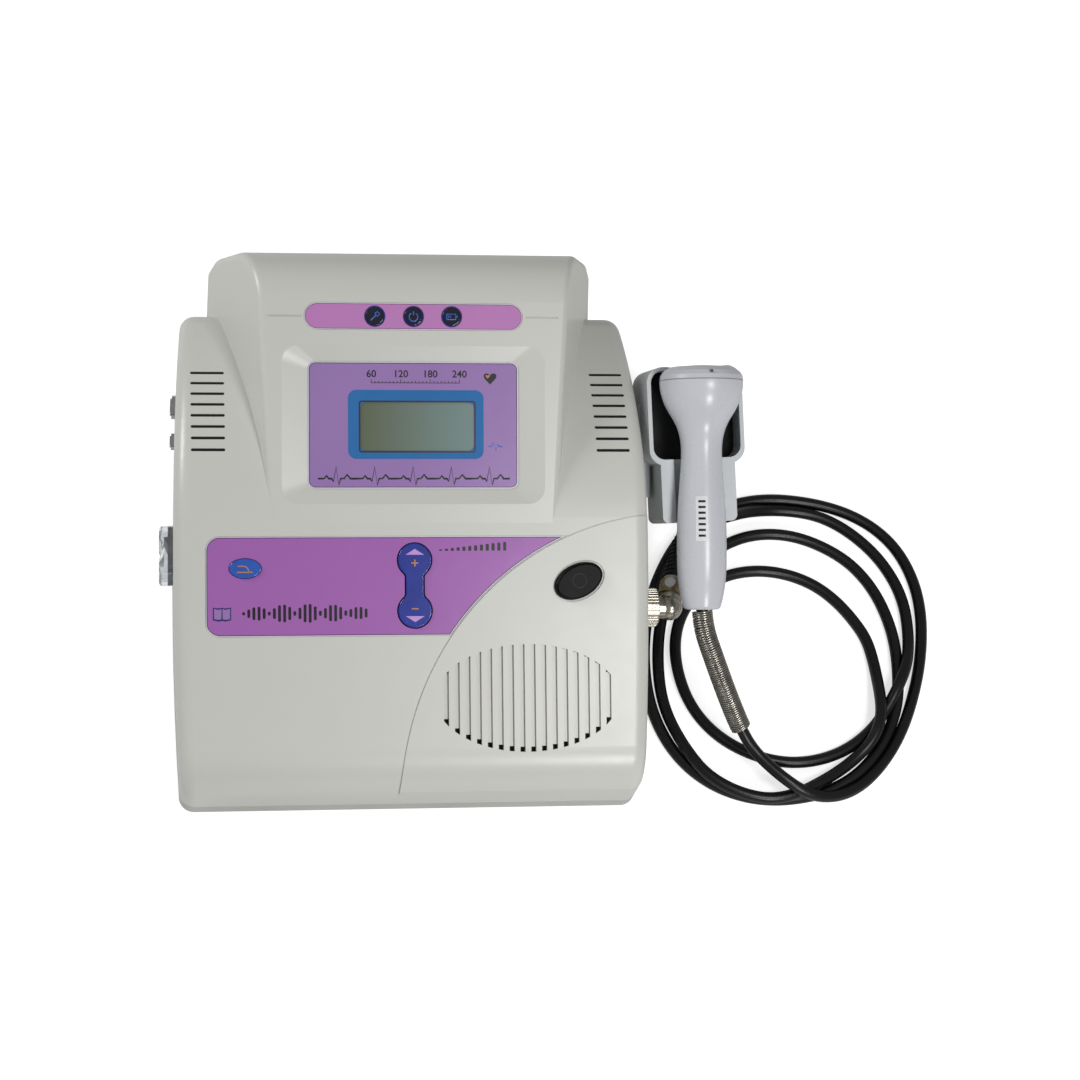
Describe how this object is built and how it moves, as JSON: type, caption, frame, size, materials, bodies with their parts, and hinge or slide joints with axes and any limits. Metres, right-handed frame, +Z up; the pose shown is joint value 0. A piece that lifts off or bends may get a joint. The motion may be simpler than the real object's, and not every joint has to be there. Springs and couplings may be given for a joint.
{
  "type": "fetal doppler monitor",
  "caption": "Tabletop fetal heart doppler console with a sloped display hood, control keys, loudspeaker grille and a corded hand probe resting in a side holder.",
  "frame": {"origin": "middle of the base of the object without its free cord and plug, on the table", "axes": "+X to the right along the width, +Y to the back, +Z up"},
  "size_m": [0.4011, 0.2625, 0.1337],
  "materials": {
    "case_plastic": "satin moulded ABS, off-white",
    "tray_plastic": "satin moulded ABS, pale grey",
    "foot_rubber": "moulded",
    "screw_steel": "zinc plated",
    "display_film": "printed lilac polycarbonate film",
    "strip_film": "printed pink polycarbonate film",
    "control_film": "printed purple polycarbonate film",
    "lamp_lens": "dark tinted",
    "lcd_cell": "reflective liquid crystal cell",
    "light_guide": "clear acrylic",
    "circuit_board": "solder mask",
    "key_plastic": "moulded blue",
    "start_plastic": "polished black",
    "switch_plastic": "moulded black",
    "grille_cloth": "pale grey woven",
    "speaker_frame": "black",
    "speaker_paper": "pressed paper pulp",
    "magnet_steel": "zinc plated",
    "capacitor_can": "sleeved",
    "core_steel": "varnished laminations",
    "coil_copper": "enamelled copper wire",
    "cell_jacket": "plain sleeve",
    "jack_metal": "nickel plated",
    "boot_clear": "translucent silicone",
    "plug_metal": "nickel plated brass",
    "boot_rubber": "moulded black",
    "holder_plastic": "moulded light grey",
    "liner_rubber": "soft black lining",
    "probe_plastic": "satin grey ABS",
    "probe_cap_plastic": "satin grey ABS",
    "sensor_face": "acoustic silicone",
    "crystal_ceramic": "fired ceramic",
    "sticker_film": "plain printed film",
    "spring_steel": "close-wound wire",
    "cord_rubber": "smooth black jacket"
  },
  "bodies": {
    "console": {"upper_shell": "case_plastic", "base_tray": "tray_plastic", "rubber_feet": "foot_rubber", "case_screws": "screw_steel", "board_screws": "screw_steel", "display_overlay": "display_film", "lcd_glass": "lcd_cell", "lcd_backlight": "light_guide", "lcd_board": "circuit_board", "indicator_overlay": "strip_film", "indicator_lenses": "lamp_lens", "indicator_board": "circuit_board", "control_overlay": "control_film", "key_board": "circuit_board", "key_switches": "switch_plastic", "speaker_cloth": "grille_cloth", "speaker_basket": "speaker_frame", "speaker_cone": "speaker_paper", "speaker_magnet": "magnet_steel", "main_board": "circuit_board", "board_chips": "switch_plastic", "capacitors": "capacitor_can", "transformer_core": "core_steel", "transformer_coil": "coil_copper", "battery_holder": "switch_plastic", "battery_cells": "cell_jacket", "record_jack": "jack_metal", "headphone_jack": "jack_metal", "jack_nuts": "jack_metal", "switch_frame": "switch_plastic", "switch_boot": "boot_clear", "probe_socket": "plug_metal", "panel_screws": "screw_steel", "plug_body": "plug_metal", "plug_clamp": "plug_metal", "clamp_screw": "jack_metal", "plug_boot": "boot_rubber", "mains_inlet": "switch_plastic", "inlet_pins": "jack_metal", "fuse_holder": "switch_plastic", "holder_shell": "holder_plastic", "holder_liner": "liner_rubber", "holder_screws": "screw_steel", "cord_coil": "cord_rubber", "cord_tail": "cord_rubber"},
    "filter_key": {"filter_key": "key_plastic"},
    "volume_key": {"volume_key": "key_plastic"},
    "start_button": {"start_button": "start_plastic"},
    "power_rocker": {"power_rocker": "switch_plastic"},
    "plug_ring": {"plug_ring": "plug_metal"},
    "probe": {"probe_handle": "probe_plastic", "probe_cap": "probe_cap_plastic", "probe_lens": "sensor_face", "probe_crystals": "crystal_ceramic", "probe_board": "circuit_board", "probe_sticker": "sticker_film", "spring_relief": "spring_steel", "cord_lead": "cord_rubber"}
  },
  "joints": [
    {"name": "filter_press", "type": "slide", "parent": "console", "child": "filter_key", "axis": [0, 0.3762, -0.9265], "range_m": [0, 0.0008], "stiffness_N_per_m": 2500, "springref_m": -0.0002},
    {"name": "volume_rock", "type": "hinge", "parent": "console", "child": "volume_key", "pos_m": [-0.02245, -0.04006, 0.07044], "axis": [1, 0, 0], "range_deg": [-3, 3], "stiffness_Nm_per_rad": 0.5},
    {"name": "start_press", "type": "slide", "parent": "console", "child": "start_button", "axis": [0, 0.3762, -0.9265], "range_m": [0, 0.0015], "stiffness_N_per_m": 1500, "springref_m": -0.0003},
    {"name": "power_switch", "type": "hinge", "parent": "console", "child": "power_rocker", "pos_m": [-0.13684, -0.01626, 0.054], "axis": [0, 0, -1], "range_deg": [0, 18]},
    {"name": "plug_lock", "type": "hinge", "parent": "console", "child": "plug_ring", "pos_m": [0.09959, -0.0383, 0.038], "axis": [1, -0.0078, 0], "range_deg": [0, 90]},
    {"name": "probe_lift", "type": "slide", "parent": "console", "child": "probe", "axis": [0, -0.4226, 0.9063], "range_m": [0, 0.045]}
  ]
}
